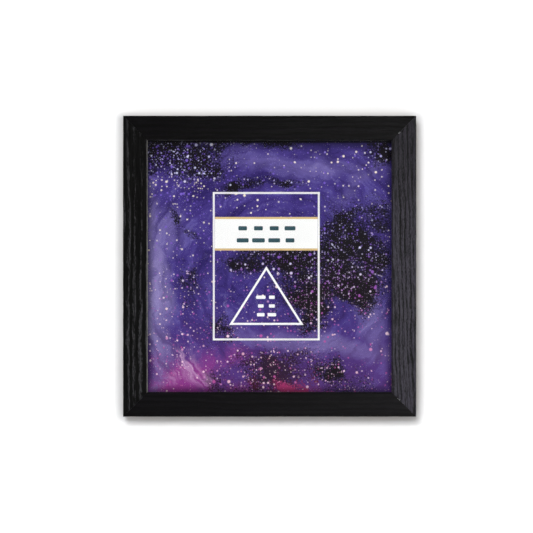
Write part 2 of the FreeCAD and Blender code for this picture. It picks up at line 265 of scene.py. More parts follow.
room = {
    "wallY": 11.8, "wallWidth": 4200, "wallTop": 3600, "foot": -150.0,
    "wallWhite": 0.93, "wallGain": 1.115,  # gain: only what the camera sees of the wall
    # a painted soft shadow round the frame, from and to so far outside each side
    "shade": 0.5, "paintedShadowTint": (0.0, 0.016, 0.045),
    "paintedShadowAt": {"left": (-0.2, 8.9), "right": (-4.7, 11.1), "top": (-0.7, 5.6), "bottom": (-1.2, 7.6)},
    # painted shade: the wall is painted dark behind the frame
    "paintedDarkBehindAt": (-3.0, 1.4), "paintedDarkBehindTint": (0.12, 0.16, 0.24),  # the wall is dark behind the frame
    "openBehind": -8.0, "openEdgeOn": 0.12,  # open from here in, and where it is seen edge on
    "liftAt": (1.5, 70.0), "wallLift": 0.8,  # the far wall is plain white
    "floorSide": 4200, "floorColor": (0.86, 0.86, 0.87, 1.0), "floorLift": 0.85,
}


def makeSheetOfRoom(name, corners, material):
    mesh = bpy.data.meshes.new(name)
    mesh.from_pydata([[v * mm for v in corner] for corner in corners], [], [(0, 1, 2, 3)])
    mesh.materials.append(material)
    sheet = bpy.data.objects.new(name, mesh)
    scene.collection.objects.link(sheet)
    return sheet


def wallPaintOf(levels):
    return [room["wallWhite"] * room["wallGain"] * v for v in levels] + [1.0]


def wallMaterial():
    material, tree, shader, inMm = newMaterial("wallPaint", {
        "Roughness": 0.9, "Specular IOR Level": 0.0, "Base Color": [room["wallWhite"]] * 3 + [1.0],
    })
    axes = split(tree, inMm)
    low, high = [[v / mm for v in corner] for corner in cadBounds]
    outside = {
        "left": minus(tree, low[0], axes["X"]), "right": minus(tree, axes["X"], high[0]),
        "bottom": minus(tree, low[2], axes["Z"]), "top": minus(tree, axes["Z"], high[2]),
    }
    # painted shadow: the wall's colour is darkened round the frame and painted dark behind it
    away, covered = -1000.0, 1.0
    for pair in (("left", "right"), ("top", "bottom")):
        clear = 0.0
        for name in pair:
            away = larger(tree, away, outside[name])
            clear = larger(tree, clear, ease(tree, outside[name], *room["paintedShadowAt"][name]))
        covered = times(tree, covered, minus(tree, 1.0, clear))
    openness = minus(tree, 1.0, times(tree, covered, room["shade"]))
    paint = tintMix(tree, openness, wallPaintOf(room["paintedShadowTint"]), wallPaintOf((1.0, 1.0, 1.0)))
    paint = tintMix(tree, ease(tree, away, *room["paintedDarkBehindAt"]), wallPaintOf(room["paintedDarkBehindTint"]), paint)

    # only the camera sees this paint, lifted to white far from the frame
    near, far = room["liftAt"]
    lift = place(tree, "ShaderNodeMapRange", {
        "Value": away, "From Min": near, "From Max": far, "To Max": room["wallLift"],
    }).outputs["Result"]
    seen = outOf(tree, "ShaderNodeAddShader", {
        0: outOf(tree, "ShaderNodeBsdfDiffuse", {"Color": paint}),
        1: outOf(tree, "ShaderNodeEmission", {"Color": white, "Strength": lift}),
    })
    ray = tree.nodes.new("ShaderNodeLightPath").outputs
    front = mixShader(tree, ray["Is Camera Ray"], shader.outputs[0], seen)

    # open from behind and where a sliver of it would show from the side
    side = tree.nodes.new("ShaderNodeNewGeometry").outputs
    facing = reckon(tree, "ABSOLUTE", reckonVector(tree, "DOT_PRODUCT", side["Normal"], side["Incoming"]))
    isSliver = larger(tree, reckon(tree, "LESS_THAN", away, room["openBehind"]),
                      reckon(tree, "LESS_THAN", facing, room["openEdgeOn"]))
    isOpen = larger(tree, side["Backfacing"], isSliver)
    surface = mixShader(tree, isOpen, front, outOf(tree, "ShaderNodeBsdfTransparent"))
    plug(tree, tree.nodes["Material Output"].inputs["Surface"], surface)
    return material


half, foot = room["wallWidth"] / 2, room["foot"]
wall = makeSheetOfRoom("wall", [(x, room["wallY"], z) for x, z in (
    (-half, foot), (half, foot), (half, room["wallTop"]), (-half, room["wallTop"]),
)], wallMaterial())
wall.visible_shadow = False  # the back of the frame stays lit
wall.visible_diffuse = False
wall.visible_glossy = False

floorPaint, floorTree, floorShader, _ = newMaterial("floorPaint", {
    "Roughness": 0.8, "Base Color": room["floorColor"], "Emission Color": white,
})
floorRay = floorTree.nodes.new("ShaderNodeLightPath").outputs
floorLift = times(floorTree, floorRay["Is Camera Ray"], room["floorLift"])
plug(floorTree, floorShader.inputs["Emission Strength"], floorLift)
half = room["floorSide"] / 2
floor = makeSheetOfRoom("floor", [
    (-half, -half, foot), (half, -half, foot), (half, half, foot), (-half, half, foot),
], floorPaint)
floor.visible_glossy = False
print("wall and floor made")


# Lamps and world: what gloss mirrors is bright to the sides and dim straight ahead

lights = {
    "fill": 0.25, "frontDim": 0.015, "sideBright": 0.4, "turnsDim": (0.35, 0.95), "aimHeight": 89.3,
    "lamps": {
        "keyLamp": {"at": (-135, -1400, 430), "size": 440, "power": 15.0, "mirrored": False, "lights": True},
        # only for the gloss of the stained wood
        "sheenLamp": {"at": (372, -640, 62), "size": 240, "power": 2.1, "mirrored": True, "lights": False},
        # for the back, which the wall hides from the front
        "backLamp": {"at": (420, 1300, 620), "size": 900, "power": 14.0, "mirrored": True, "lights": True},
    },
}

for name, look in lights["lamps"].items():
    lampData = bpy.data.lights.new(name, "AREA")
    lampData.shape = "DISK"
    lampData.size = look["size"] * mm
    lampData.energy = look["power"]
    lamp = bpy.data.objects.new(name, lampData)
    lamp.location = [v * mm for v in look["at"]]
    aim = Vector((0, 0, lights["aimHeight"] * mm)) - lamp.location
    lamp.rotation_euler = aim.to_track_quat("-Z", "Y").to_euler()
    lamp.visible_glossy = look["mirrored"]
    lamp.visible_transmission = look["mirrored"]
    lamp.visible_diffuse = look["lights"]
    scene.collection.objects.link(lamp)

world = bpy.data.worlds.new("room")
world.use_nodes = True
scene.world = world
sky = world.node_tree
ray = sky.nodes.new("ShaderNodeLightPath").outputs
ahead = times(sky, split(sky, sky.nodes.new("ShaderNodeTexCoord").outputs["Generated"])["Y"], -1.0)
mirrored = ease(sky, ahead, *lights["turnsDim"], lights["sideBright"], lights["frontDim"])
level = blend(sky, larger(sky, ray["Is Glossy Ray"], ray["Is Transmission Ray"]), lights["fill"], mirrored)
background = sky.nodes["Background"].inputs
background["Color"].default_value = white
plug(sky, background["Strength"], blend(sky, ray["Is Camera Ray"], level, 1.0))
scene.view_settings.view_transform = "Standard"
print("lights set")


# Groups that more than one material uses

grainPattern = {
    "quickDrift": 1.1, "slant": 0.9, "ringSpread": 0.3, "poreAt": (0.6, 0.68), "hairAt": (0.34, 0.66),
    "longShare": 0.38, "dashShare": 0.3, "hairShare": 0.32,
}


def makeGrainGroup(kind):
    # Open grain: rings that wander along the rail, broken by dashes and hairs, and pores. The grain runs
    # along X once it is turned. The same pattern colours the rails and raises them.
    tree, given, out = newGroup("openGrain", {
        "Vector": ("Vector", None), "Turn": ("Float", 0.0), "Seed": ("Float", 0.0), "Pitch": ("Float", 3.0),
        "Rings": ("Float", 0.5), "Width": ("Float", 1.4), "Length": ("Float", 90.0), "Wander": ("Float", 1.5),
        "Low": ("Float", 0.42), "High": ("Float", 0.62),
    }, {"Streak": "Float", "Pore": "Float", "Hair": "Float"}, kind)

    def drawnOut(field, pull, scale, detail=1.0, roughness=0.5, shift=None):
        long = stretched(tree, field, (pull, 1.0, 1.0))
        return noise(tree, shifted(tree, long, shift) if shift else long, scale, detail, roughness)

    turned = rotated(tree, given["Vector"], given["Turn"])
    moved = shifted(tree, turned, join(tree, given["Seed"], 0.0, given["Seed"]))
    slow = times(tree, minus(tree, drawnOut(moved, pull=0.35, scale=0.05), 0.5), given["Wander"])
    quick = minus(tree, drawnOut(moved, pull=0.4, scale=0.3), 0.5)
    drift = timesPlus(tree, quick, grainPattern["quickDrift"], slow)
    axes = split(tree, moved)
    across = plus(tree, plus(tree, axes["Z"], times(tree, axes["Y"], grainPattern["slant"])), drift)
    wave = reckon(tree, "SINE", times(tree, over(tree, across, given["Pitch"]), math.tau))
    rings = timesPlus(tree, wave, 0.5, 0.5)

    bent = join(tree, axes["X"], axes["Y"], plus(tree, axes["Z"], drift))
    size = over(tree, 1.0, given["Width"])
    squeeze = join(tree, over(tree, given["Width"], given["Length"]), 1.0, 1.0)
    long = noise(tree, stretched(tree, bent, squeeze), size, 1.0, 0.5)
    dashes = drawnOut(bent, pull=0.09, scale=times(tree, size, 1.5))
    hairs = drawnOut(bent, pull=0.3, scale=times(tree, size, 2.6), roughness=0.6)
    loose = plus(tree, times(tree, dashes, grainPattern["dashShare"]),
                 times(tree, hairs, grainPattern["hairShare"]))
    loose = plus(tree, times(tree, long, grainPattern["longShare"]), loose)
    calm = timesPlus(tree, minus(tree, rings, 0.5), grainPattern["ringSpread"], 0.5)
    streak = blend(tree, given["Rings"], loose, calm)
    plug(tree, out["Streak"], ease(tree, streak, given["Low"], given["High"]))

    pits = drawnOut(bent, pull=0.06, scale=times(tree, size, 1.7), detail=0.0, shift=(31.0, 7.0, 13.0))
    plug(tree, out["Pore"], ease(tree, pits, *grainPattern["poreAt"]))
    fine = drawnOut(bent, pull=0.14, scale=times(tree, size, 3.6), detail=2.0, roughness=0.7)
    plug(tree, out["Hair"], ease(tree, fine, *grainPattern["hairAt"]))
    return tree


fibrePattern = {
    "swirlScale": 0.25, "swirl": 9.0, "pull": 0.22, "cloudScale": 0.05, "cloudShare": 0.3,
    "hairAt": (0.42, 0.72), "hairShare": 0.7,
}


def makeFibreGroup():
    # short hairs that cross each other, bent by a swirl, over a slow cloud
    tree, given, out = newGroup("fibres", {
        "Vector": ("Vector", None), "Size": ("Float", 0.5),
    }, {"Tone": "Float", "Height": "Float"})
    scale = over(tree, 1.0, given["Size"])
    swirl = noise(tree, given["Vector"], times(tree, scale, fibrePattern["swirlScale"]), 1.0, 0.5, "Color")
    swirl = scaled(tree, reckonVector(tree, "SUBTRACT", swirl, (0.5, 0.5, 0.5)), given["Size"])
    moved = shifted(tree, given["Vector"], scaled(tree, swirl, fibrePattern["swirl"]))
    pull = fibrePattern["pull"]
    hairs, crossed = [noise(tree, stretched(tree, moved, factors), scale, 2.0, 0.6)
                      for factors in ((pull, 1.0, 1.0), (1.0, 1.0, pull))]
    mixed = larger(tree, hairs, crossed)
    cloud = noise(tree, given["Vector"], times(tree, scale, fibrePattern["cloudScale"]), 3.0, 0.5)
    tone = plus(tree, times(tree, ease(tree, mixed, *fibrePattern["hairAt"]), fibrePattern["hairShare"]),
                times(tree, cloud, fibrePattern["cloudShare"]))
    plug(tree, out["Height"], mixed)
    plug(tree, out["Tone"], tone)
    return tree


handlingPattern = {
    "turnsAndShifts": ((0.4, 3.0), (1.9, 17.0), (2.7, 41.0)), "lean": (0.2, 1.0, 0.1),
    "pull": 0.04, "scale": 3.4, "scratchAt": (0.69, 0.74), "smearAt": (0.3, 0.7),
}


def makeHandlingGroup():
    # fine scratches in three directions, and the smear of fingers
    tree, given, out = newGroup("handling", {
        "Vector": ("Vector", None), "Reach": ("Float", 20.0),
    }, {"Scratch": "Float", "Smear": "Float"})
    scratch = 0.0
    for turn, shift in handlingPattern["turnsAndShifts"]:
        turned = rotated(tree, given["Vector"], turn, handlingPattern["lean"])
        pulled = stretched(tree, turned, (handlingPattern["pull"], 1.0, 1.0))
        lines = noise(tree, shifted(tree, pulled, (shift, shift, 0.0)), handlingPattern["scale"], 0.0)
        scratch = larger(tree, scratch, ease(tree, lines, *handlingPattern["scratchAt"]))
    smear = noise(tree, given["Vector"], over(tree, 1.0, given["Reach"]), 3.0, 0.6)
    plug(tree, out["Scratch"], scratch)
    plug(tree, out["Smear"], ease(tree, smear, *handlingPattern["smearAt"]))
    return tree


def makeMitreGroup():
    tree, given, out = newGroup("mitreLine", {
        "Vector": ("Vector", None), "Half Width": ("Float", 87.0), "Height": ("Float", 178.6),
        "Gap": ("Float", 0.12),
    }, {"Line": "Float"})
    axes = split(tree, given["Vector"])
    inX = minus(tree, given["Half Width"], reckon(tree, "ABSOLUTE", axes["X"]))
    inZ = reckon(tree, "MINIMUM", axes["Z"], minus(tree, given["Height"], axes["Z"]))
    plug(tree, out["Line"], ease(tree, reckon(tree, "ABSOLUTE", minus(tree, inX, inZ)), given["Gap"], 0.0))
    return tree


def makePatchGroup():
    tree, given, out = newGroup("softPatch", {
        "Vector": ("Vector", None), "Centre": ("Vector", (0, 0, 0)), "Size": ("Vector", (10, 10, 1)),
        "Turn": ("Float", 0.0), "Soft": ("Float", 0.5),
    }, {"Mask": "Float"})
    moved = reckonVector(tree, "SUBTRACT", given["Vector"], given["Centre"])
    turned = rotated(tree, moved, given["Turn"], (0.0, 0.0, 1.0))
    span = reckonVector(tree, "LENGTH", reckonVector(tree, "DIVIDE", turned, given["Size"]))
    inner, outer = minus(tree, 1.0, given["Soft"]), plus(tree, 1.0, given["Soft"])
    plug(tree, out["Mask"], ease(tree, span, outer, inner))
    return tree


starShape = {"leastSize": 0.6, "sizeSpread": 0.7, "core": 0.5, "dimming": 2.2}


def makeStarGroup():
    # one round dot in some of the cells, of a size and strength that vary together
    tree, given, out = newGroup("starLayer", {
        "Vector": ("Vector", None), "Spacing": ("Float", 2.0), "Radius": ("Float", 0.4),
        "Amount": ("Float", 0.5), "Dimmest": ("Float", 0.2),
    }, {"Light": "Float", "Hue": "Float"})
    cells = place(tree, "ShaderNodeTexVoronoi", {
        "Vector": given["Vector"], "Scale": over(tree, 1.0, given["Spacing"]),
    }, voronoi_dimensions="2D").outputs
    chance = place(tree, "ShaderNodeSeparateColor", {"Color": cells["Color"]}).outputs
    away = times(tree, cells["Distance"], given["Spacing"])
    vary = timesPlus(tree, chance["Green"], starShape["sizeSpread"], starShape["leastSize"])
    radius = times(tree, given["Radius"], vary)
    spot = ease(tree, away, radius, times(tree, radius, starShape["core"]))
    lit = reckon(tree, "LESS_THAN", chance["Red"], given["Amount"])
    power = reckon(tree, "POWER", chance["Green"], starShape["dimming"])
    strength = plus(tree, given["Dimmest"], times(tree, power, minus(tree, 1.0, given["Dimmest"])))
    plug(tree, out["Light"], times(tree, times(tree, spot, lit), strength))
    plug(tree, out["Hue"], chance["Blue"])
    return tree


openGrain, raisedGrain = makeGrainGroup("ShaderNodeTree"), makeGrainGroup("GeometryNodeTree")
fibres, handling, mitreLine = makeFibreGroup(), makeHandlingGroup(), makeMitreGroup()
softPatch, starLayer = makePatchGroup(), makeStarGroup()


# The printed star field, which runs on from the mat to the card, with painted shade along the sight edges

starPrint = {
    "deep": "291d5c", "violet": "41337f", "pale": "5a4f99", "lilac": "8f83ba", "plum": "62357b",
    "strand": "a79fd0", "night": "120d13", "magenta": "8a3687", "rose": "d3acd6", "ember": "2c1830",
    "glow": "a33268",
    # patches: centre x, z, half width, half height, turn in degrees, softness, strength
    "nightPatch": [
        (-58, 158, 30, 12, 12, 0.9, 1.1), (-16, 165, 44, 3.5, 2, 0.9, 0.8), (48, 96, 20, 27, -10, 0.8, 1.0),
        (12, 97, 36, 10, -4, 0.8, 1.0), (24, 74, 18, 18, 20, 0.9, 0.95), (-10, 138, 24, 4, -6, 0.9, 0.8),
        (68, 160, 12, 10, 30, 0.9, 0.8), (-52, 118, 16, 3, 48, 0.9, 0.45), (-46, 78, 9, 14, 30, 0.9, 0.55),
        (-33, 50, 10, 11, 0, 0.9, 0.5), (42, 22, 16, 11, 25, 0.9, 0.45), (62, 104, 7, 26, 8, 0.9, 0.6),
        (-14, 24, 12, 7, 12, 0.9, 0.5),
    ],
    "lilacPatch": [
        (-67, 70, 6, 50, -3, 0.8, 1.0), (-60, 112, 9, 12, 30, 0.9, 0.4), (30, 42, 40, 5, 6, 0.9, 0.5),
        (56, 142, 18, 4, -42, 0.9, 0.25), (62, 60, 7, 18, -14, 0.9, 0.4), (16, 150, 40, 5, 4, 0.9, 0.3),
    ],
    "magentaPatch": [
        (-50, 21, 20, 10, 12, 0.9, 1.0), (20, 14, 14, 5, -8, 0.9, 0.8), (-22, 32, 20, 8, 0, 0.9, 0.45),
        (-2, 17, 28, 7, 0, 0.9, 0.5),
    ],
    "rosePatch": [
        (-48, 30, 10, 4, 40, 0.9, 0.8), (-58, 23, 7, 4, -30, 0.9, 0.45), (-38, 24, 5, 3, 10, 0.9, 0.45),
    ],
    "emberPatch": [(4, 26, 24, 13, 0, 0.9, 0.85), (-30, 20, 9, 7, 0, 0.9, 0.5)],
    "glowPatch": [(14, 17, 12, 5, 6, 0.9, 0.9), (-12, 22, 8, 4, 20, 0.9, 0.5), (26, 22, 6, 4, 0, 0.9, 0.4)],
    "clusterPatch": [
        (-56, 150, 26, 18, 14, 0.7, 1.0), (38, 82, 24, 18, 10, 0.9, 0.4), (-56, 60, 12, 34, 0, 0.9, 0.4),
        (2, 26, 24, 12, 0, 0.9, 0.6),
    ],
    # noises: scale, detail, roughness; a swirl starts with how far it moves the rest
    "broadSwirl": (20.0, 0.032, 2.0, 0.5), "closeSwirl": (9.0, 0.13, 4.0, 0.6), "spray": (0.9, 2.0, 0.7),
    "wisp": (1.0, 6.0, 0.62), "strands": (1.0, 3.0, 0.6), "cloud": (0.06, 6.0, 0.6),
    # torn rims: where the rim lies, how much spray, softness
    "nightTorn": (0.4, 1.6, 0.26), "magentaTorn": (0.42, 0.7, 0.4), "emberTorn": (0.42, 1.6, 0.2),
    "glowTorn": (0.5, 1.6, 0.2), "tearing": 2.4, "tornLevel": 0.9,
    "strandCentre": (8.0, 80.0), "strandPull": (1.3, 2.6, 1.3), "plumAt": (84.0, 32.0), "plumWander": 24.0,
    "warmAt": (118.0, 34.0), "warmShare": 0.8,
    # one row for each size of star: spacing, radius, share lit, more in the dark, more in a cluster,
    # dimmest, strength, share of white
    "stars": [
        (1.15, 0.38, 0.07, 0.34, 0.32, 0.08, 0.9, 0.55), (2.0, 0.54, 0.12, 0.08, 0.32, 0.25, 1.0, 0.7),
        (3.2, 0.72, 0.08, 0.04, 0.40, 0.6, 1.0, 0.85), (9.5, 0.96, 0.16, 0.14, 0.34, 0.85, 1.0, 1.0),
    ],
    "coldStars": ("7458c6", "e4e7ff"), "creamStars": "fbeed2", "hotStars": ("c84f8c", "f6cfe4"),
    "starShift": (5.3, 8.9),  # between two sizes of star
    # painted shade: the print is darkened so far in from the sight edges, and most in a margin below the top
    # rail
    "sight": (72.5, 14.5, 164.1), "paintedLipShade": 5.0, "paintedShadeMargin": 1.5,  # sight: half width, foot, head
}


def makePrintAndShadeGroup():
    tree, given, out = newGroup("starPrint", {"Vector": ("Vector", None)}, {"Color": "Color", "Ink": "Float"})
    axes = split(tree, given["Vector"])
    flat = join(tree, axes["X"], axes["Z"])

    def swirl(amount, *settings):
        field = noise(tree, flat, *settings, "Color")
        return scaled(tree, reckonVector(tree, "SUBTRACT", field, (0.5, 0.5, 0.5)), amount)

    shift = shifted(tree, swirl(*starPrint["broadSwirl"]), swirl(*starPrint["closeSwirl"]))
    warped = stretched(tree, shifted(tree, flat, shift), (1.0, 1.0, 0.0))

    def patches(name):
        total = 0.0
        for x, z, wide, high, turn, soft, strength in starPrint[name + "Patch"]:
            mask = placeGroup(tree, softPatch, {
                "Vector": warped, "Centre": (x, z, 0), "Size": (wide, high, 1),
                "Turn": math.radians(turn), "Soft": soft,
            })["Mask"]
            total = larger(tree, total, times(tree, mask, strength))
        return total

    # strands that bend round the middle, like brushed cloud
    around = reckonVector(tree, "SUBTRACT", warped, (*starPrint["strandCentre"], 0.0))
    parts = split(tree, around)
    turn = reckon(tree, "ARCTAN2", parts["Y"], parts["X"])
    polar = join(tree, times(tree, reckon(tree, "SINE", turn), 2.0),
                 times(tree, reckonVector(tree, "LENGTH", around), 0.2),
                 times(tree, reckon(tree, "COSINE", turn), 2.0))
    wisp = noise(tree, polar, *starPrint["wisp"])
    strands = noise(tree, stretched(tree, polar, starPrint["strandPull"]), *starPrint["strands"])
    cloud = noise(tree, warped, *starPrint["cloud"])
    spray = minus(tree, noise(tree, flat, *starPrint["spray"]), 0.5)

    def torn(name):
        # a ragged, sprayed rim in place of the smooth one of the patches
        edge, grainy, soft = starPrint[name + "Torn"]
        mask = patches(name)
        swing = times(tree, minus(tree, cloud, 0.5), ease(tree, mask, 0.0, 0.4, 0.0, starPrint["tearing"]))
        level = timesPlus(tree, mask, starPrint["tornLevel"], swing)
        return ease(tree, timesPlus(tree, spray, grainy, level), edge - soft, edge + soft)

    tone = timesPlus(tree, spray, 0.16, plus(tree, times(tree, wisp, 0.55), times(tree, cloud, 0.45)))
    brushed = times(tree, ease(tree, strands, 0.56, 0.76), ease(tree, cloud, 0.45, 0.65, 0.0, 0.5))
    low = ease(tree, timesPlus(tree, wisp, starPrint["plumWander"], axes["Z"]), *starPrint["plumAt"])
    night = torn("night")
    color = tint(starPrint["deep"])
    for name, share in (
        ("violet", ease(tree, tone, 0.36, 0.52)), ("pale", ease(tree, tone, 0.5, 0.64)),
        ("strand", brushed), ("plum", times(tree, low, 0.45)),
        ("lilac", times(tree, patches("lilac"), ease(tree, wisp, 0.3, 0.62, 0.35, 1.0))),
        ("magenta", torn("magenta")), ("ember", torn("ember")), ("glow", torn("glow")),
        ("rose", times(tree, patches("rose"), ease(tree, strands, 0.34, 0.76))),
        ("night", night),
    ):
        color = tintMix(tree, share, color, tint(starPrint[name]))

    # stars: violet to blue-white above and pink below, some of them cream where the cloud is light
    warm = times(tree, ease(tree, axes["Z"], *starPrint["warmAt"]), starPrint["warmShare"])
    cluster = patches("cluster")
    ink = 0.0
    for row, settings in enumerate(starPrint["stars"]):
        spacing, radius, lit, inDark, inCluster, dimmest, strength, whiteShare = settings
        stars = placeGroup(tree, starLayer, {
            "Vector": shifted(tree, flat, (*[step * row for step in starPrint["starShift"]], 0.0)),
            "Spacing": spacing, "Radius": radius, "Dimmest": dimmest,
            "Amount": timesPlus(tree, night, inDark, timesPlus(tree, cluster, inCluster, lit)),
        })
        hue, light = stars["Hue"], times(tree, stars["Light"], strength)
        cold = tintMix(tree, ease(tree, hue, 0.35, 0.9, 0.0, whiteShare), *map(tint, starPrint["coldStars"]))
        creamy = times(tree, reckon(tree, "GREATER_THAN", hue, 0.5), ease(tree, night, 0.5, 0.1))
        cold = tintMix(tree, creamy, cold, tint(starPrint["creamStars"]))
        hot = tintMix(tree, ease(tree, hue, 0.25, 0.8), *map(tint, starPrint["hotStars"]))
        color = tintMix(tree, light, color, tintMix(tree, warm, cold, hot))
        ink = larger(tree, ink, light)

    # painted shade: the print is painted darker towards the sight edges, where the rails shade it, most of
    # all below the top rail
    halfWide, lowest, highest = starPrint["sight"]
    sideways = minus(tree, halfWide, reckon(tree, "ABSOLUTE", axes["X"]))
    inFromEdge = reckon(tree, "MINIMUM", sideways, minus(tree, axes["Z"], lowest))
    below = minus(tree, minus(tree, highest, axes["Z"]), starPrint["paintedShadeMargin"])
    nearest = reckon(tree, "MINIMUM", inFromEdge, times(tree, below, 0.75))
    paintedEdgeShade = times(tree, ease(tree, nearest, 0.0, starPrint["paintedLipShade"], 0.42, 1.0),
                     ease(tree, below, -0.3, 0.3, 0.14, 1.0))
    plug(tree, out["Color"], tintMix(tree, 1.0, color, paintedEdgeShade, "MULTIPLY"))
    plug(tree, out["Ink"], ink)
    return tree


printAndShadeGroup = makePrintAndShadeGroup()
print("shader groups built")


# Rails: one moulding swept along each side and mitred, its open grain raised; bare fibreboard behind

moulding = {
    "front": -9.0, "back": 8.97,  # the back lies a hair below the V-nails, so that they show
    "width": 14.5, "wall": 10.0, "step": -5.0, "bevel": 0.7, "round": 0.8, "backRound": 0.5,
    "pointStep": 0.34, "lengthStep": 1.3, "mitreGap": 0.03, "sharpAngle": 0.7,
    # how deep the grain goes, its share in the gaps and pores, and where it fades out
    "relief": 0.13, "gapSunk": 0.65, "poreSunk": 0.35,
    "reliefFace": (-7.0, -8.0), "reliefSide": (1.0, 0.85), "reliefBack": (8.4, 7.8),
}
acrossGrain = {
    "Turn": 0, "Seed": 117.0, "Pitch": 3.2, "Rings": 0.3, "Width": 1.3, "Length": 100.0, "Wander": 5.0,
    "Low": 0.42, "High": 0.6,
}
# painted light: each rail gets its own copy of the colours, lit as the lamps fall on it: the side rails
# lighter, the top and bottom rails darker; the sight-edge highlight and the shade on the outer arris and
# towards the top also differ per rail
rails = {  # sight: the axis across the rail, its sign and where the sight edge lies
    "left": {
        "turn": 90, "at": (-87.0, 0, 89.3), "length": 178.6, "sight": ("X", 1, -72.5),
        "dark": "000000", "light": "353538", "edge": "94948f", "outer": 0.9, "upperShade": 0.4,
        "grain": {
            "Turn": 90, "Seed": 3.0, "Pitch": 3.7, "Rings": 0.4, "Width": 1.25, "Length": 90.0,
            "Wander": 5.0, "Low": 0.515, "High": 0.6,
        },
    },
    "right": {
        "turn": -90, "at": (87.0, 0, 89.3), "length": 178.6, "sight": ("X", -1, -72.5),
        "dark": "040305", "light": "393640", "edge": "232224", "outer": 0.0, "upperShade": 0.5,
        "grain": {
            "Turn": 91.6, "Seed": 61.0, "Pitch": 2.5, "Rings": 0.35, "Width": 1.1, "Length": 70.0,
            "Wander": 5.0, "Low": 0.39, "High": 0.56,
        },
    },
    "top": {
        "turn": 180, "at": (0, 0, 178.6), "length": 174.0, "sight": ("Z", -1, -164.1),
        "dark": "000000", "light": "050307", "edge": "19191b", "outer": 0.9, "upperShade": 0.0,
        "grain": acrossGrain,
    },
    "bottom": {
        "turn": 0, "at": (0, 0, 0), "length": 174.0, "sight": ("Z", 1, 14.5),
        "dark": "010002", "light": "08060b", "edge": "0c0c0e", "outer": 0.9, "upperShade": 0.0,
        "grain": {**acrossGrain, "Seed": 233.0},
    },
}
railFinish = {
    "specular": 0.22, "roughStreak": 0.4, "roughGap": 0.54, "roughBoard": 0.85, "hair": 0.6, "bump": 0.05,
    "pore": "060606", "poreShare": 0.7, "poreSunk": -0.5, "smearRough": 0.05,
    # painted shade: this dark tint darkens the outer arris and the side rails towards the top
    "stainAndPaintedLight": "020202", "outerShadeAt": (1.0, 0.3), "upperShadeAt": (95.0, 165.0),
    # painted highlight and wear: the sight edge is lighter in patches, brightest on the left rail, which
    # faces the light; patches: noise, and what it is eased to
    "wornEdgeHighlightDepth": (0.42, 0.26), "wornEdgeHighlightFace": (-8.0, -8.3), "patches": (0.35, 2.0, 0.6),
    "patchEase": (0.3, 0.55, 0.45, 1.0),
    "mitreLine": 0.1, "mitreTint": "050505", "mitreShare": 0.7,
    "backJoint": 0.3, "jointTint": "2b2018", "jointShare": 0.8,
    "boardDark": "8a6f50", "boardLight": "b59a76", "boardAt": (8.55, 8.8), "rebateEase": (0.05, 0.15),
}


def mouldingOutline():
    # the section: x from the outer face inward, y from front to back, anticlockwise seen along the rail
    front, back, width = moulding["front"], moulding["back"], moulding["width"]

    def run(start, end):
        count = max(1, round(math.dist(start, end) / moulding["pointStep"]))
        return [[a + (b - a) * i / count for a, b in zip(start, end)] for i in range(count)]

    def arc(centre, radius, first, last, count=4):
        angles = [math.radians(first + (last - first) * i / count) for i in range(count)]
        return [(centre[0] + radius * math.cos(a), centre[1] + radius * math.sin(a)) for a in angles]

    eased, behind, bevel = moulding["round"], moulding["backRound"], moulding["bevel"]
    points = arc((eased, front + eased), eased, 180, 270)
    points += run((eased, front), (width - bevel, front))
    points += run((width - bevel, front), (width, front + bevel))
    points += [(width, front + bevel), (width, moulding["step"]), (moulding["wall"], moulding["step"])]
    points += [(moulding["wall"], back)]
    points += arc((behind, back - behind), behind, 90, 180)
    points += run((0, back - behind), (0, front + eased))
    return points


def drawSection(points):
    curve = bpy.data.curves.new("mouldingSection", "CURVE")
    curve.dimensions = "3D"
    spline = curve.splines.new("POLY")
    spline.points.add(len(points) - 1)
    for point, (inward, depth) in zip(spline.points, points):
        point.co = (-depth * mm, -inward * mm, 0, 1)  # a sweep along X lays these out as Y and Z
    spline.use_cyclic_u = True
    return curve


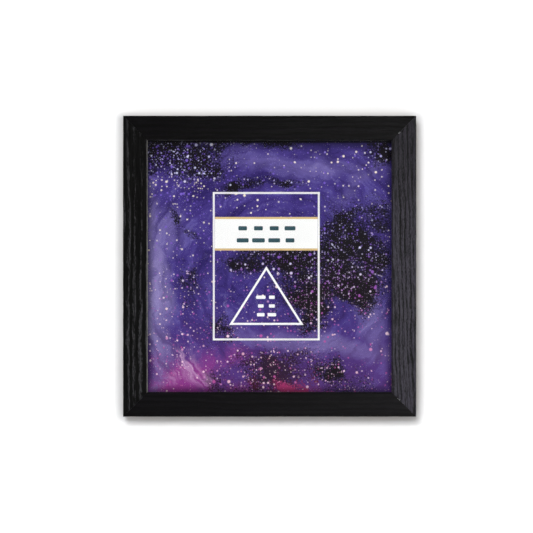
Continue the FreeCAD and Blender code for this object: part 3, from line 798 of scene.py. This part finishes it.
def makeMouldingTree():
    tree, given, out = newGroup("mitredMoulding", {
        "Section": ("Geometry", None), "Length": ("Float", 0.174), "Segments": ("Int", 120),
        "Mitre Gap": ("Float", 0.00003), "Turn": ("Float", 0.0), "Place": ("Vector", (0.0, 0.0, 0.0)),
        "Relief": ("Float", 0.0001), "Material": ("Material", None),
        **{"Grain " + name: ("Float", 1.0) for name in acrossGrain},
    }, {"Mesh": "Geometry"}, "GeometryNodeTree")
    half = times(tree, given["Length"], 0.5)
    start, end = [join(tree, times(tree, half, sign)) for sign in (-1.0, 1.0)]
    line = outOf(tree, "GeometryNodeCurvePrimitiveLine", {"Start": start, "End": end})
    line = outOf(tree, "GeometryNodeResampleCurve", {
        "Curve": line, "Count": plus(tree, given["Segments"], 1.0),
    })
    swept = outOf(tree, "GeometryNodeCurveToMesh", {
        "Curve": line, "Profile Curve": given["Section"], "Fill Caps": True,
    })

    # both ends slope back by the depth from the outer face, which makes the mitres
    position = outOf(tree, "GeometryNodeInputPosition")
    axes = split(tree, position)
    reach = minus(tree, minus(tree, half, axes["Z"]), given["Mitre Gap"])
    along = times(tree, axes["X"], over(tree, reach, half))
    mitred = outOf(tree, "GeometryNodeSetPosition", {
        "Geometry": swept, "Position": join(tree, along, axes["Y"], axes["Z"]),
    })

    # the grain sinks the face and the outer side between its streaks
    def within(axis, name):
        return ease(tree, axes[axis], *[v * mm for v in moulding[name]])

    inPlace = shifted(tree, rotated(tree, position, given["Turn"]), given["Place"])
    grain = placeGroup(tree, raisedGrain, {
        "Vector": scaled(tree, inPlace, 1 / mm), **{name: given["Grain " + name] for name in acrossGrain},
    })
    gaps = times(tree, minus(tree, 1.0, grain["Streak"]), moulding["gapSunk"])
    hollow = times(tree, timesPlus(tree, grain["Pore"], moulding["poreSunk"], gaps), given["Relief"])
    onSide = times(tree, within("Z", "reliefSide"), within("Y", "reliefBack"))
    sunk = join(tree, 0.0, times(tree, hollow, within("Y", "reliefFace")), times(tree, hollow, onSide))
    raised = outOf(tree, "GeometryNodeSetPosition", {"Geometry": mitred, "Offset": sunk})

    laid = outOf(tree, "GeometryNodeTransform", {
        "Geometry": raised, "Translation": given["Place"], "Rotation": join(tree, y=given["Turn"]),
    })
    soft = outOf(tree, "GeometryNodeSetShadeSmooth", {"Geometry": laid, "Shade Smooth": True})
    angle = place(tree, "GeometryNodeInputMeshEdgeAngle").outputs["Unsigned Angle"]
    edged = outOf(tree, "GeometryNodeSetShadeSmooth", {
        "Geometry": soft, "Selection": reckon(tree, "GREATER_THAN", angle, moulding["sharpAngle"]),
        "Shade Smooth": False,
    }, domain="EDGE")
    real = outOf(tree, "GeometryNodeRealizeInstances", {"Geometry": edged})
    painted = outOf(tree, "GeometryNodeSetMaterial", {"Geometry": real, "Material": given["Material"]})
    plug(tree, out["Mesh"], painted)
    return tree


def grainSettings(look):
    return {**look["grain"], "Turn": math.radians(look["grain"]["Turn"])}


def railMaterial(side, look):
    # one copy for each rail, painted lighter or darker as the light falls on that side
    name = "blackMoulding_" + side
    material, tree, shader, inMm = newMaterial(name, {"Specular IOR Level": railFinish["specular"]})
    axes = split(tree, inMm)
    grain = placeGroup(tree, openGrain, {"Vector": inMm, **grainSettings(look)})
    broken = timesPlus(tree, grain["Hair"], 2.0 * railFinish["hair"], 1.0 - railFinish["hair"])
    tone = times(tree, grain["Streak"], broken)

    # depth runs from the sight edge outwards
    axis, sign, sight = look["sight"]
    depth = minus(tree, sight, times(tree, axes[axis], sign))
    # painted highlight with some wear: the sight edge takes a lighter colour in patches
    wornEdgeHighlight = times(tree, ease(tree, depth, *railFinish["wornEdgeHighlightDepth"]),
                 ease(tree, axes["Y"], *railFinish["wornEdgeHighlightFace"]))
    patchy = ease(tree, noise(tree, inMm, *railFinish["patches"]), *railFinish["patchEase"])
    # painted shade: a dark band along the outer arris of the left, top and bottom rails; the right rail,
    # which faces the light, has none
    outer = ease(tree, minus(tree, moulding["width"], depth), *railFinish["outerShadeAt"])
    mitre = placeGroup(tree, mitreLine, {"Vector": inMm, "Gap": railFinish["mitreLine"]})["Line"]
    # the grain's colour, then pores, a painted highlight with wear on the sight edge, painted shade on the
    # outer arris and towards the top, and dark mitre lines
    stainAndPaintedLight = tintMix(tree, tone, tint(look["dark"]), tint(look["light"]))
    for share, color in (
        (times(tree, grain["Pore"], railFinish["poreShare"]), railFinish["pore"]),
        (times(tree, wornEdgeHighlight, patchy), look["edge"]),
        (times(tree, outer, look["outer"]), railFinish["stainAndPaintedLight"]),
        # painted shade: the side rails darken towards the top
        (ease(tree, axes["Z"], *railFinish["upperShadeAt"], 0.0, look["upperShade"]), railFinish["stainAndPaintedLight"]),
        (times(tree, mitre, railFinish["mitreShare"]), railFinish["mitreTint"]),
    ):
        stainAndPaintedLight = tintMix(tree, share, stainAndPaintedLight, tint(color))

    # bare board behind the wrapped face and in the rebate
    board = placeGroup(tree, fibres, {"Vector": inMm, "Size": 0.45})
    bare = tintMix(tree, board["Tone"], tint(railFinish["boardDark"]), tint(railFinish["boardLight"]))
    joint = placeGroup(tree, mitreLine, {"Vector": inMm, "Gap": railFinish["backJoint"]})["Line"]
    bare = tintMix(tree, times(tree, joint, railFinish["jointShare"]), bare, tint(railFinish["jointTint"]))
    lip, (stepEase, wallEase) = moulding["width"] - moulding["wall"], railFinish["rebateEase"]
    inRebate = times(tree, reckon(tree, "GREATER_THAN", axes["Y"], moulding["step"] - stepEase),
                     ease(tree, depth, lip + wallEase, lip - wallEase))
    isBare = larger(tree, ease(tree, axes["Y"], *railFinish["boardAt"]), inRebate)

    worn = placeGroup(tree, handling, {"Vector": inMm, "Reach": 28.0})
    sheen = ease(tree, tone, 0.0, 1.0, railFinish["roughGap"], railFinish["roughStreak"])
    sheen = plus(tree, sheen, times(tree, worn["Smear"], railFinish["smearRough"]))
    rough = larger(tree, sheen, times(tree, isBare, railFinish["roughBoard"]))
    raised = timesPlus(tree, grain["Pore"], railFinish["poreSunk"], tone)
    height = blend(tree, isBare, raised, board["Height"])
    finishShader(tree, shader, tintMix(tree, isBare, stainAndPaintedLight, bare), rough, height, railFinish["bump"])
    return material


mouldingTree, section = makeMouldingTree(), mouldingOutline()
for side, look in rails.items():
    paint = railMaterial(side, look)
    mesh = runTree("moulding_" + side, mouldingTree, {
        "Length": look["length"] * mm, "Segments": round(look["length"] / moulding["lengthStep"]),
        "Mitre Gap": moulding["mitreGap"] * mm, "Turn": math.radians(look["turn"]),
        "Place": [v * mm for v in look["at"]], "Relief": moulding["relief"] * mm, "Material": paint,
        **{"Grain " + name: value for name, value in grainSettings(look).items()},
    }, drawSection(section))
    makeMeshPiece("moulding_" + side, mesh, paint, "rail_wood", "rail_" + side)
    print("rail made:", side, len(mesh.vertices), "points")


# Mat board and card: the print on the front, painted darker near the sight edges, white core on the bevel and
# back

paper = {
    "printedMat": {"node": "mat_board", "front": -3.5, "core": "fdfdfb"},
    "printedCard": {"node": "placeholder_card", "front": -2.35, "core": "e9e6dd"},
}
paperFinish = {
    "grit": "d9d6cc", "gritShare": 0.08, "gloss": 0.6, "inkGloss": -0.08, "bare": 0.88, "inkDepth": 0.02,
}

for name, look in paper.items():
    material, tree, shader, inMm = newMaterial(name, {"Specular IOR Level": 0.12})
    printAndShade = placeGroup(tree, printAndShadeGroup, {"Vector": inMm})
    grit = placeGroup(tree, fibres, {"Vector": inMm, "Size": 0.22})
    share = times(tree, grit["Tone"], paperFinish["gritShare"])
    core = tintMix(tree, share, tint(look["core"]), tint(paperFinish["grit"]))
    onFront = reckon(tree, "LESS_THAN", split(tree, inMm)["Y"], look["front"] + paperFinish["inkDepth"])
    gloss = timesPlus(tree, printAndShade["Ink"], paperFinish["inkGloss"], paperFinish["gloss"])
    finishShader(tree, shader, tintMix(tree, onFront, core, printAndShade["Color"]),
                 blend(tree, onFront, paperFinish["bare"], gloss), grit["Height"], 0.02, 0.5)
    dress(material, look["node"])
print("mat and card printed")


# Glazing: a clear sheet with ground edges, a hair clear of the mat

glazing = {"front": -5.0, "back": -3.53, "halfWidth": 76.2, "bottom": 10.8, "top": 167.8, "arris": 0.3}


def glassMaterial():
    material, tree, shader, inMm = newMaterial("clearSheet", {
        "IOR": 1.5, "Transmission Weight": 1.0, "Specular IOR Level": 0.2,
        "Base Color": (0.985, 0.992, 0.988, 1.0),
    })
    smudge = placeGroup(tree, handling, {"Vector": inMm, "Reach": 35.0})
    plug(tree, shader.inputs["Roughness"], timesPlus(tree, smudge["Smear"], 0.03, 0.01))
    ray = tree.nodes.new("ShaderNodeLightPath").outputs
    clear = outOf(tree, "ShaderNodeBsdfTransparent")
    surface = shader.outputs[0]
    for kind in ("Is Diffuse Ray", "Is Shadow Ray"):  # light passes straight through to the print
        surface = mixShader(tree, ray[kind], surface, clear)
    plug(tree, tree.nodes["Material Output"].inputs["Surface"], surface)
    return material


def boxMesh(name, low, high, chamfer):
    shape = bmesh.new()
    bmesh.ops.create_cube(shape, size=1.0)
    for vertex in shape.verts:
        for axis in range(3):
            vertex.co[axis] = ((low[axis] + high[axis]) / 2 + vertex.co[axis] * (high[axis] - low[axis])) * mm
    bmesh.ops.bevel(shape, geom=shape.edges[:], offset=chamfer * mm, segments=1, profile=0.5, affect="EDGES")
    return closedMesh(name, shape)


makeMeshPiece("glazing_sheet", boxMesh(
    "glazing_sheet", (-glazing["halfWidth"], glazing["front"], glazing["bottom"]),
    (glazing["halfWidth"], glazing["back"], glazing["top"]), glazing["arris"],
), glassMaterial(), "clear_sheet", "glazing")
print("glazing made")


# Marks printed on the card: a white band between gold rules, a triangle, and bars where wording goes

marks = {
    "left": -32.6, "right": 28.6, "front": -2.385, "back": -2.352, "band": (99.9, 117.4), "rule": 1.25,
    "triangle": {"apex": (-1.96, 89.3), "base": 54.3, "half": 22.15, "line": 1.25},
    "inks": {"white": ("fbfbfa", 0.5), "gold": ("dbbd84", 0.42), "teal": ("2c4c55", 0.5)},
    "gritShade": 0.86, "gritShare": 0.4, "gritRough": 0.12,
}


def inkMaterial(name, code, roughness):
    material, tree, shader, inMm = newMaterial(name + "Ink", {"Specular IOR Level": 0.25})
    grit = placeGroup(tree, fibres, {"Vector": inMm, "Size": 0.18})
    deeper = tuple(v * marks["gritShade"] for v in tint(code)[:3]) + (1.0,)
    color = tintMix(tree, times(tree, grit["Tone"], marks["gritShare"]), tint(code), deeper)
    rough = timesPlus(tree, grit["Tone"], marks["gritRough"], roughness)
    finishShader(tree, shader, color, rough, grit["Height"], 0.01, 0.5)
    return material


def flatMesh(name, loops):
    # each loop is an outline in x, z; a second outline inside it makes a hole
    shape, y = bmesh.new(), marks["back"] * mm
    for loop in loops:
        outer, *inner = [[shape.verts.new((x * mm, y, z * mm)) for x, z in line] for line in loop]
        if inner:
            for i, j in zip(range(len(outer)), [*range(1, len(outer)), 0]):
                shape.faces.new((outer[i], outer[j], inner[0][j], inner[0][i]))
        else:
            shape.faces.new(outer)
    grown = bmesh.ops.extrude_face_region(shape, geom=shape.faces[:])
    for item in grown["geom"]:
        if isinstance(item, bmesh.types.BMVert):
            item.co.y = marks["front"] * mm
    return closedMesh(name, shape)


def bandLoop(low, high):
    return [[(marks["left"], low), (marks["right"], low), (marks["right"], high), (marks["left"], high)]]


def triangleLoop(settings):
    (tipX, tipZ), half, base = settings["apex"], settings["half"], settings["base"]
    corners = [(tipX - half, base), (tipX + half, base), (tipX, tipZ)]
    sides = [math.dist(corners[i - 2], corners[i - 1]) for i in range(3)]
    around = sum(sides)
    middle = [sum(s * c[axis] for s, c in zip(sides, corners)) / around for axis in (0, 1)]
    inRadius = (tipZ - base) * sides[2] / around
    share = (inRadius - settings["line"]) / inRadius
    return [corners, [[m + (v - m) * share for v, m in zip(corner, middle)] for corner in corners]]


inks = {name: inkMaterial(name, *look) for name, look in marks["inks"].items()}
low, high = marks["band"]
for name, loops, ink in (
    ("card_band", [bandLoop(low, high)], "white"),
    ("card_rules", [bandLoop(low - marks["rule"], low), bandLoop(high, high + marks["rule"])], "gold"),
    ("card_triangle", [triangleLoop(marks["triangle"])], "white"),
):
    makeMeshPiece(name, flatMesh(name, loops), inks[ink], "card_print")

wordBars = {
    "band": {
        "centre": (-1.96, 108.3), "rows": 2, "rowPitch": 7.2, "bars": 4, "pitch": 9.4, "height": 2.5,
        "seed": 4, "front": -2.41, "back": -2.386, "ink": "teal",
    },
    "triangle": {
        "centre": (-1.96, 65.6), "rows": 3, "rowPitch": 5.2, "bars": 2, "pitch": 6.6, "height": 2.0,
        "seed": 9, "front": -2.385, "back": -2.352, "ink": "white",
    },
}
barShape = {"corner": 0.3, "shortest": 0.5, "longest": 0.86}  # shares of the height and of the pitch


def makeBarTree():
    tree, given, out = newGroup("wordBars", {
        "Rows": ("Int", 2), "Row Pitch": ("Float", 0.005), "Bars": ("Int", 4), "Bar Pitch": ("Float", 0.008),
        "Bar Height": ("Float", 0.002), "Thickness": ("Float", 0.00003), "Seed": ("Int", 1),
        "Material": ("Material", None),
    }, {"Mesh": "Geometry"}, "GeometryNodeTree")
    oneBar = outOf(tree, "GeometryNodeCurvePrimitiveQuadrilateral", {
        "Width": given["Bar Pitch"], "Height": given["Bar Height"],
    })
    rounded = outOf(tree, "GeometryNodeFilletCurve", {
        "Curve": oneBar, "Count": 6, "Radius": times(tree, given["Bar Height"], barShape["corner"]),
    }, mode="POLY")
    filled = outOf(tree, "GeometryNodeFillCurve", {"Curve": rounded}, mode="NGONS")
    solid = outOf(tree, "GeometryNodeExtrudeMesh", {
        "Mesh": filled, "Offset Scale": given["Thickness"], "Individual": False,
    })
    both = place(tree, "GeometryNodeJoinGeometry")
    for part in (solid, outOf(tree, "GeometryNodeFlipFaces", {"Mesh": filled})):
        plug(tree, both.inputs[0], part)
    closed = outOf(tree, "GeometryNodeMergeByDistance", {"Geometry": both.outputs[0], "Distance": 1e-6})
    grid = outOf(tree, "GeometryNodeMeshGrid", {
        "Size X": times(tree, given["Bar Pitch"], minus(tree, given["Bars"], 1.0)),
        "Size Y": times(tree, given["Row Pitch"], minus(tree, given["Rows"], 1.0)),
        "Vertices X": given["Bars"], "Vertices Y": given["Rows"],
    })
    length = place(tree, "FunctionNodeRandomValue", {
        2: barShape["shortest"], 3: barShape["longest"], "Seed": given["Seed"],
    }, data_type="FLOAT").outputs[1]
    bars = outOf(tree, "GeometryNodeInstanceOnPoints", {
        "Points": grid, "Instance": closed, "Scale": join(tree, length, 1.0, 1.0),
    })
    real = outOf(tree, "GeometryNodeRealizeInstances", {"Geometry": bars})
    painted = outOf(tree, "GeometryNodeSetMaterial", {"Geometry": real, "Material": given["Material"]})
    plug(tree, out["Mesh"], painted)
    return tree


barTree = makeBarTree()
for spot, bars in wordBars.items():
    ink = inks[bars["ink"]]
    mesh = runTree("card_bars_" + spot, barTree, {
        "Rows": bars["rows"], "Row Pitch": bars["rowPitch"] * mm, "Bars": bars["bars"],
        "Bar Pitch": bars["pitch"] * mm, "Bar Height": bars["height"] * mm,
        "Thickness": (bars["back"] - bars["front"]) * mm, "Seed": bars["seed"], "Material": ink,
    })
    for vertex in mesh.vertices:  # the tree works flat in X and Y, the card stands in X and Z
        x, y, z = vertex.co
        vertex.co = (x + bars["centre"][0] * mm, bars["back"] * mm - z, y + bars["centre"][1] * mm)
    makeMeshPiece("card_bars_" + spot, mesh, ink, "card_print")
print("card marks made")


# Boards at the back

boards = {
    "backboard": {"dark": "5b3f28", "light": "86633f", "size": 0.5, "roughness": 0.62},
    "pocket_board": {"dark": "b9b2a3", "light": "d8d2c4", "size": 0.35, "roughness": 0.85},
}

boardFinish = {"scratch": 0.35, "smearRough": 0.12, "bump": 0.06}

for name, look in boards.items():
    material, tree, shader, inMm = newMaterial(name + "_stock", {})
    stock = placeGroup(tree, fibres, {"Vector": inMm, "Size": look["size"]})
    worn = placeGroup(tree, handling, {"Vector": inMm, "Reach": 45.0})
    shade = tintMix(tree, stock["Tone"], tint(look["dark"]), tint(look["light"]))
    shade = tintMix(tree, times(tree, worn["Scratch"], boardFinish["scratch"]), shade, tint(look["light"]))
    rough = timesPlus(tree, worn["Smear"], boardFinish["smearRough"], look["roughness"])
    finishShader(tree, shader, shade, rough, stock["Height"], boardFinish["bump"])
    dress(material, name)
print("boards dressed")


# Steel: blued tabs, bright V-nails, zinc-plated hanger and nails

steels = {  # nodes: what the names of the nodes start with
    "bluedSteel": {
        "nodes": "tab_", "base": "3a3d44", "worn": "7c7f86",
        "roughness": 0.34, "scratch": 0.5, "spangle": 3.5,
    },
    "bareSteel": {
        "nodes": "vnail_", "base": "8f9094", "worn": "c3c4c7",
        "roughness": 0.38, "scratch": 0.5, "spangle": 4.0,
    },
    "zincPlate": {
        "nodes": "sawtooth_", "base": "a9a9a3", "worn": "d2d1ca",
        "roughness": 0.3, "scratch": 0.45, "spangle": 1.3,
    },
    "zincNail": {
        "nodes": "hanger_nail", "base": "b3b1a6", "worn": "dddcd4",
        "roughness": 0.27, "scratch": 0.4, "spangle": 2.2,
    },
}

steelFinish = {
    "spangleEase": (0.3, 0.7, 0.0, 0.35), "spangleRaised": 0.3, "smearRough": 0.16, "scratchRough": 0.1,
    "bump": 0.02,
}

for name, look in steels.items():
    material, tree, shader, inMm = newMaterial(name, {"Metallic": 1.0})
    worn = placeGroup(tree, handling, {"Vector": inMm, "Reach": 4.0})
    spangle = noise(tree, inMm, look["spangle"], 2.0, 0.6)
    spangled = ease(tree, spangle, *steelFinish["spangleEase"])
    shade = tintMix(tree, spangled, tint(look["base"]), tint(look["worn"]))
    shade = tintMix(tree, times(tree, worn["Scratch"], look["scratch"]), shade, tint(look["worn"]))
    rough = timesPlus(tree, worn["Smear"], steelFinish["smearRough"], look["roughness"])
    rough = plus(tree, rough, times(tree, worn["Scratch"], steelFinish["scratchRough"]))
    height = minus(tree, times(tree, spangle, steelFinish["spangleRaised"]), worn["Scratch"])
    finishShader(tree, shader, shade, rough, height, steelFinish["bump"])
    dress(material, *[node for node in cadNodes if node.startswith(look["nodes"])])
print("steel dressed")
